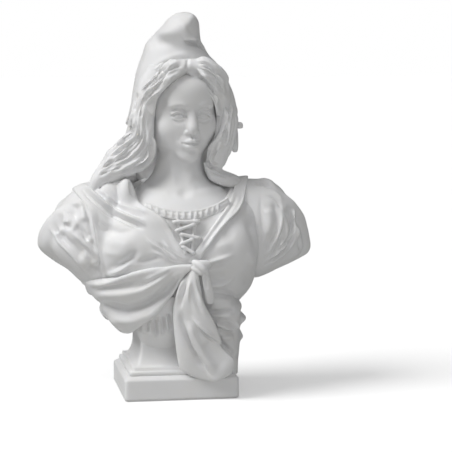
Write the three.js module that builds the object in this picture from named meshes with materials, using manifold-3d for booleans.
// A small cast-marble portrait bust of an allegorical figure in a liberty cap, on a square moulded plinth.
// Millimetres, +Z up. The origin is the centre of the underside, and the figure faces -Y.
// "Left" and "right" are the figure's own, so its right arm is at -X.
import * as THREE from "three";
import { mergeVertices } from "three/addons/utils/BufferGeometryUtils.js";
import Module from "manifold-3d";

const wasm = await Module();
wasm.setup();

// ---- Driving dimensions -------------------------------------------------------------------------

const BASE = 41.5; // side of the square plinth slab
const FELT = { side: 37, thick: 1 }; // let into the underside of the slab
const SLAB_TOP = 9.2; // height of the slab above the table
const NECK = 14.2; // half width of the plinth's neck
const SEAT_Z = 24; // where the figure stands on the plinth
const HEAD = { x: 2.7, y: -1.5, z: 102, wide: 12, deep: 14.5, tall: 17 };
const ROD = { radius: 2, bottom: 1.8, top: 44 };
const RECESS = { radius: 7.5, top: 7 }; // pocket under the plinth for the washer and nut
const GAP = 0.3; // joint left between two pieces
const CLEAR = 0.25; // radial clearance round the tie rod
const SIDES = 20; // facets round a lofted piece
const BAND_SIDES = 10; // facets round a strip of cloth

// ---- Materials ----------------------------------------------------------------------------------

const marble = new THREE.MeshStandardMaterial({ color: 0xe4e4e6, roughness: 0.55, metalness: 0 });
const steel = new THREE.MeshStandardMaterial({ color: 0xa8a9ad, roughness: 0.35, metalness: 1 });
const felt = new THREE.MeshStandardMaterial({ color: 0x3d4a3f, roughness: 0.95, metalness: 0 });

// ---- Solids -------------------------------------------------------------------------------------

// The closed solid of a three.js geometry. grow moves its surface out along its own normals.
function solid(geometry, grow = 0) {
  const bare = geometry.clone();
  bare.deleteAttribute("normal");
  bare.deleteAttribute("uv");
  const merged = mergeVertices(bare, 1e-3);
  const position = merged.getAttribute("position");
  if (grow) {
    merged.computeVertexNormals();
    const normal = merged.getAttribute("normal");
    for (let i = 0; i < position.count; i++)
      position.setXYZ(
        i,
        position.getX(i) + grow * normal.getX(i),
        position.getY(i) + grow * normal.getY(i),
        position.getZ(i) + grow * normal.getZ(i),
      );
  }
  return new wasm.Manifold(
    new wasm.Mesh({
      numProp: 3,
      vertProperties: new Float32Array(position.array),
      triVerts: new Uint32Array(merged.index.array),
    }),
  );
}

const unite = (solids) => solids.reduce((all, next) => all.add(next));

// Pieces are carved in turn. Each is drawn from overlapping geometries, less a gap round all earlier ones,
// and keeps only its largest part.
const bust = new THREE.Group();
bust.name = "marble_bust";
const earlier = [];
function carve(name, geometries, bores = []) {
  const raw = unite(geometries.map((g) => solid(g)));
  const cut = earlier.reduce((left, other) => left.subtract(other), raw);
  const whole = cut.decompose().sort((a, b) => b.volume() - a.volume())[0];
  earlier.push(unite(geometries.map((g) => solid(g, GAP))));
  bust.add(mesh(name, bores.reduce((left, b) => left.subtract(solid(b)), whole), marble));
}

function mesh(name, body, material) {
  const { vertProperties, triVerts, numProp } = body.getMesh();
  const points = new Float32Array((vertProperties.length / numProp) * 3);
  for (let i = 0; i < points.length / 3; i++)
    points.set(vertProperties.subarray(i * numProp, i * numProp + 3), i * 3);
  const geometry = new THREE.BufferGeometry();
  geometry.setAttribute("position", new THREE.BufferAttribute(points, 3));
  geometry.setIndex(new THREE.BufferAttribute(triVerts, 1));
  geometry.computeVertexNormals();
  const made = new THREE.Mesh(geometry, material);
  made.name = name;
  return made;
}

// ---- Shapes -------------------------------------------------------------------------------------

// A capped cylinder whose rings are laid on stations { at, u, v }: ring centre and its two half axes.
function loft(stations, sides = SIDES) {
  const steps = stations.length - 1;
  const geometry = new THREE.CylinderGeometry(1, 1, 1, sides, steps);
  const position = geometry.getAttribute("position");
  const point = new THREE.Vector3();
  for (let i = 0; i < position.count; i++) {
    const { at, u, v } = stations[Math.round((position.getY(i) + 0.5) * steps)];
    point.copy(at).addScaledVector(u, position.getX(i)).addScaledVector(v, -position.getZ(i));
    position.setXYZ(i, point.x, point.y, point.z);
  }
  return geometry;
}

// Level rings [z, x, y, half width, half depth], from the lowest up.
function tower(rings, sides = SIDES) {
  return loft(
    rings.map(([z, x, y, wide, deep]) => ({
      at: new THREE.Vector3(x, y, z),
      u: new THREE.Vector3(wide, 0, 0),
      v: new THREE.Vector3(0, deep, 0),
    })),
    sides,
  );
}

// A strip of cloth [x, y, z, half width, half thickness] that lies flat round the point core.
function band(stops, core, sides = BAND_SIDES) {
  const centre = new THREE.Vector3(...core);
  const at = stops.map(([x, y, z]) => new THREE.Vector3(x, y, z));
  const stations = at.map((p, i) => {
    const before = at[Math.max(i - 1, 0)];
    const after = at[Math.min(i + 1, at.length - 1)];
    const along = after.clone().sub(before).normalize();
    const out = p.clone().sub(centre);
    out.addScaledVector(along, -out.dot(along)).normalize();
    const across = out.clone().cross(along).multiplyScalar(stops[i][3]);
    return { at: p, u: across, v: out.multiplyScalar(stops[i][4]) };
  });
  return loft(stations, sides);
}

function ball(x, y, z, wide, deep, tall, across = 20, up = 12) {
  return new THREE.SphereGeometry(1, across, up)
    .rotateX(Math.PI / 2)
    .scale(wide, deep, tall)
    .translate(x, y, z);
}

function rod(radius, from, to, x = 0, y = 0, sides = 20) {
  return new THREE.CylinderGeometry(radius, radius, to - from, sides)
    .rotateX(Math.PI / 2)
    .translate(x, y, (from + to) / 2);
}

// A square block with a moulded edge: [half width, z] from the bottom centre to the top centre.
function mouldedBlock(profile) {
  const outline = profile.map(([half, z]) => new THREE.Vector2(half * Math.SQRT2, z));
  return new THREE.LatheGeometry(outline, 4).rotateY(Math.PI / 4).rotateX(Math.PI / 2);
}

// ---- Plinth and fixings -------------------------------------------------------------------------

const half = BASE / 2;
const bore = rod(ROD.radius + CLEAR, 0, ROD.top + 1);
const recess = rod(RECESS.radius, 0, RECESS.top);
const pocketSide = FELT.side + 2 * GAP;
const pocketTop = FELT.thick + GAP;
const pocket = new THREE.BoxGeometry(pocketSide, pocketSide, pocketTop);
pocket.translate(0, 0, pocketTop / 2);
carve(
  "plinth_block",
  [
    mouldedBlock([
      [0, GAP],
      [half, GAP],
      [half, SLAB_TOP - 1.4],
      [half - 1.85, SLAB_TOP],
      [half - 1.85, SLAB_TOP + 1.1],
      [half - 2.95, SLAB_TOP + 1.8],
      [half - 3.05, SLAB_TOP + 2.7],
      [half - 4.85, SLAB_TOP + 4.5],
      [half - 5.95, SLAB_TOP + 7.3],
      [NECK, SLAB_TOP + 10.3],
      [NECK, SEAT_Z],
      [0, SEAT_Z],
    ]),
  ],
  [bore, recess, pocket],
);

const washerRing = rod(6.2, RECESS.top - 1.3, RECESS.top - GAP);
const hexNut = rod(4, RECESS.top - 4.6, RECESS.top - 1.6, 0, 0, 6);
bust.add(mesh("tie_washer", solid(washerRing).subtract(solid(bore)), steel));
bust.add(mesh("tie_nut", solid(hexNut).subtract(solid(bore)), steel));
bust.add(mesh("tie_rod", solid(rod(ROD.radius, ROD.bottom, ROD.top)), steel));
const pad = new THREE.BoxGeometry(FELT.side, FELT.side, FELT.thick);
bust.add(mesh("felt_pad", solid(pad.translate(0, 0, FELT.thick / 2)), felt));

// ---- Head, neck and cap -------------------------------------------------------------------------

carve("head_and_neck", [
  ball(HEAD.x, HEAD.y, HEAD.z, HEAD.wide, HEAD.deep, HEAD.tall, 20, 14),
  tower([
    [58, 2, -6, 12, 10],
    [66, 2, -4, 18.5, 15.5],
    [71, 2, -2, 19.5, 14],
    [76, 2, 0.5, 16, 11],
    [80, 2, 1.5, 10, 9],
    [85, 2.2, 1, 8.3, 8.4],
    [95, 2.6, 0, 8, 8.8],
  ]),
]);

// The liberty cap stands on the crown, leans back, then folds forward into a rounded tip.
const capCrown = loft(
  [
    [2.8, 3.6, 107, 19.2, 19.5, -32],
    [2.6, 3.4, 114.5, 17.6, 17.6, -26],
    [2, 3.6, 121, 14.2, 14.4, -15],
    [1.2, 4.2, 126, 11.2, 11.2, -2],
    [1, 4, 130, 9, 8.8, 15],
    [2, 1.5, 133, 6.8, 6.8, 45],
    [3, -2, 134.2, 6, 5.8, 78],
    [3.3, -6, 133.8, 5.7, 5.8, 95],
    [3.4, -9.2, 133.2, 3.6, 3.8, 100],
  ].map(([x, y, z, wide, deep, lean]) => ({
    at: new THREE.Vector3(x, y, z),
    u: new THREE.Vector3(wide, 0, 0),
    v: new THREE.Vector3(0, deep, 0).applyAxisAngle(
      new THREE.Vector3(1, 0, 0),
      THREE.MathUtils.degToRad(lean),
    ),
  })),
);
const HEAD_CORE = [2, 4, 98];
const capNape = band(
  [
    [-12, 8, 110, 8, 4],
    [-15, 9, 100, 8, 3.4],
    [-18.5, 9, 90, 7.5, 3],
    [-23, 8, 82, 6, 2.6],
  ],
  [0, 0, 95],
);
carve("cap", [capCrown, capNape]);
carve("cap_lappet", [
  band(
    [
      [20.5, 0, 101, 2.6, 1.4],
      [22.3, -2, 97, 2.6, 1.6],
      [22.4, -3, 92, 2.2, 1.5],
      [21.5, -3, 87, 1.2, 1],
    ],
    [10, 6, 95],
  ),
]);

// ---- Hair ---------------------------------------------------------------------------------------

carve("hair_front", [ball(3, -4.5, 112.5, 16.4, 13.4, 9.4)]);
carve("hair_right", [
  band(
    [
      [-8, -6, 112, 5.5, 5],
      [-12.5, -5, 103, 6.5, 5.6],
      [-13.5, -3.5, 93, 7, 5.6],
      [-17.5, -2.5, 85, 9.5, 5],
      [-24, -3, 79.5, 8, 4],
      [-30, -3.5, 76.5, 3.4, 2.4],
    ],
    HEAD_CORE,
  ),
]);
carve("hair_left", [
  band(
    [
      [14.5, -6, 111, 5, 4.6],
      [17.5, -5, 102, 6, 4.8],
      [16.5, -4.5, 93, 5.6, 4.6],
      [14, -4, 86.5, 4.4, 3.8],
      [14.5, -3.5, 82, 2.2, 2],
    ],
    HEAD_CORE,
  ),
]);
carve("hair_back", [
  tower([
    [72, 0, 12, 9, 4],
    [78, 0, 12.5, 14, 6.5],
    [86, 1, 10.5, 15, 8],
    [96, 2, 8, 15.5, 9.5],
    [107, 2.7, 6, 14.5, 10.5],
  ]),
]);

// ---- Torso, bodice and sleeves ------------------------------------------------------------------

carve(
  "torso",
  [
    tower([
      [SEAT_Z + GAP, 0.5, 0, 14, 13],
      [30, 1, -1, 19, 16.5],
      [38, 2.5, -2, 25, 19.5],
      [46, 2.5, -3, 27.5, 21.5],
      [53, 2, -3.5, 28, 21.5],
      [61, 1.5, -1.5, 29.5, 18.5],
      [69, 1.5, 1, 30, 14.5],
      [74.5, 2, 3, 25, 11],
      [78, 2, 4, 14, 8],
    ]),
  ],
  [bore],
);

// The arms end just below the shoulder, hidden in full sleeves. Rings run from the shoulder outwards.
function sleeve(side, rings) {
  const stations = rings.map(([x, y, z, tall, deep, lean]) => {
    const turn = THREE.MathUtils.degToRad(lean);
    return {
      at: new THREE.Vector3(side * x, y, z),
      u: new THREE.Vector3(side * Math.sin(turn), 0, Math.cos(turn)).multiplyScalar(tall),
      v: new THREE.Vector3(0, -side * deep, 0),
    };
  });
  return loft(stations);
}
carve("sleeve_right", [
  sleeve(-1, [
    [20, 2, 60, 14, 10, 0],
    [27, 1, 59, 17.5, 13, 14],
    [34, 0, 56.5, 18, 14, 28],
    [41, 0, 55, 14.5, 12.5, 38],
    [46.6, 0, 54.5, 9.5, 8.5, 42],
    [49.2, 0, 55.2, 4, 3.5, 42],
  ]),
]);
carve("sleeve_left", [
  sleeve(1, [
    [20, 3, 62, 13, 10, 0],
    [28, 2, 62, 16.5, 12.5, 10],
    [36, 1.5, 60, 16, 13, 16],
    [42, 1.5, 57, 13, 12, 20],
    [46.5, 1.5, 54, 8.5, 8.5, 20],
    [48.6, 1.5, 53, 3.4, 3, 20],
  ]),
]);

// A gathered edge of the shift shows along the neckline.
const frillStops = [-14, -9, -3, 2.5, 8, 13, 17].map((x) => {
  const offset = (x - 2) / 22;
  return [x, -20.2 + 14 * offset * offset, 66.6 + 4.5 * offset * offset, 1.4, 1.2];
});
carve("chemise_frill", [band(frillStops, [2, 0, 64], 8)]);

// Five crossings of cord over the placket of the bodice.
const laces = [64, 61, 58, 55, 52.5].map((z, i) => {
  const reach = 3.9 - 0.35 * i;
  const rise = i % 2 ? 0.9 : -0.5;
  return band(
    [
      [2 - reach, -24.2, z - rise, 0.75, 0.75],
      [2, -25.6, z, 0.75, 0.75],
      [2 + reach, -24.2, z + rise, 0.75, 0.75],
    ],
    [2, 0, 58],
    8,
  );
});
const placket = tower([
  [50.5, 2, -23.4, 1.6, 1.8],
  [58, 2, -22.6, 3, 2.6],
  [65.5, 2, -20.8, 3.6, 2.8],
]);
carve("bodice_lacing", [placket, ...laces]);

// ---- Shawl --------------------------------------------------------------------------------------

const BREAST_CORE = [0, 2, 50];
carve("shawl_knot", [ball(6.8, -26, 49, 3.2, 3, 3.6, 14, 10)]);

// Over the right shoulder and across the breast to the knot.
carve("shawl_shoulder", [
  band(
    [
      [-13, 17, 61, 9, 3],
      [-18, 14, 71, 9.5, 3],
      [-21.5, 6, 76.5, 10, 3.2],
      [-22, -5, 74.5, 10, 3.6],
      [-16.5, -14, 68.5, 9, 3.6],
      [-9, -20.5, 60.5, 7.5, 3.2],
      [-2, -24, 54, 5.5, 2.6],
      [3, -25.4, 50.5, 2.8, 1.8],
    ],
    BREAST_CORE,
  ),
]);

// Over the left shoulder, as a narrower strap.
carve("shawl_strap", [
  band(
    [
      [14, 17, 62, 7, 2.6],
      [20, 13, 71, 6, 2.6],
      [22.5, 3, 76.5, 4.5, 2.6],
      [21.5, -7, 72.5, 3.6, 2.6],
      [18, -15, 65.5, 3, 2.2],
      [13, -22, 57.5, 2.6, 2],
      [9, -25.6, 52, 2, 1.5],
    ],
    BREAST_CORE,
  ),
]);

// From the back, under the right arm, up to the knot.
carve("shawl_swag", [
  band(
    [
      [-6, 19, 37, 10, 2.6],
      [-20, 15, 36, 10.5, 3],
      [-29, 4, 34.5, 11, 4],
      [-28, -9, 34, 11, 4.6],
      [-18, -20, 36.5, 10, 4],
      [-6, -24.5, 42, 6.5, 3.2],
      [3, -25.8, 46.5, 3, 2],
    ],
    [0, 0, 42],
  ),
]);

// The free end hangs from the knot, over the front edge of the plinth.
carve("shawl_tail", [
  band(
    [
      [6.2, -25.6, 46.5, 2.6, 2.2],
      [5.2, -24.2, 38, 5.5, 3.6],
      [6, -21.8, 28, 8.5, 4.4],
      [8, -20.6, 19, 10.6, 4],
      [9, -20.6, 12.5, 10.4, 3],
      [10.5, -21.4, 8.5, 8, 1.8],
      [11.5, -21.6, 6.8, 4, 1],
    ],
    [6, 0, 20],
  ),
]);

// Folds of the skirt close the bust below the bodice.
carve("skirt_ruffle", [
  tower([
    [14, 17.2, -6, 2.4, 7],
    [20, 16.5, -6, 5.5, 11],
    [27, 15.5, -6, 8.6, 14],
    [33, 16, -6, 8, 14],
    [38, 15, -6, 5, 11],
  ]),
]);
carve("skirt_fringe", [
  tower([
    [17.5, -9.5, -15.5, 3, 1.6],
    [21.5, -9.5, -16, 6, 3.4],
    [27, -9, -17.5, 7, 4],
    [31, -8.5, -18, 5.5, 3],
  ]),
]);

export default bust;
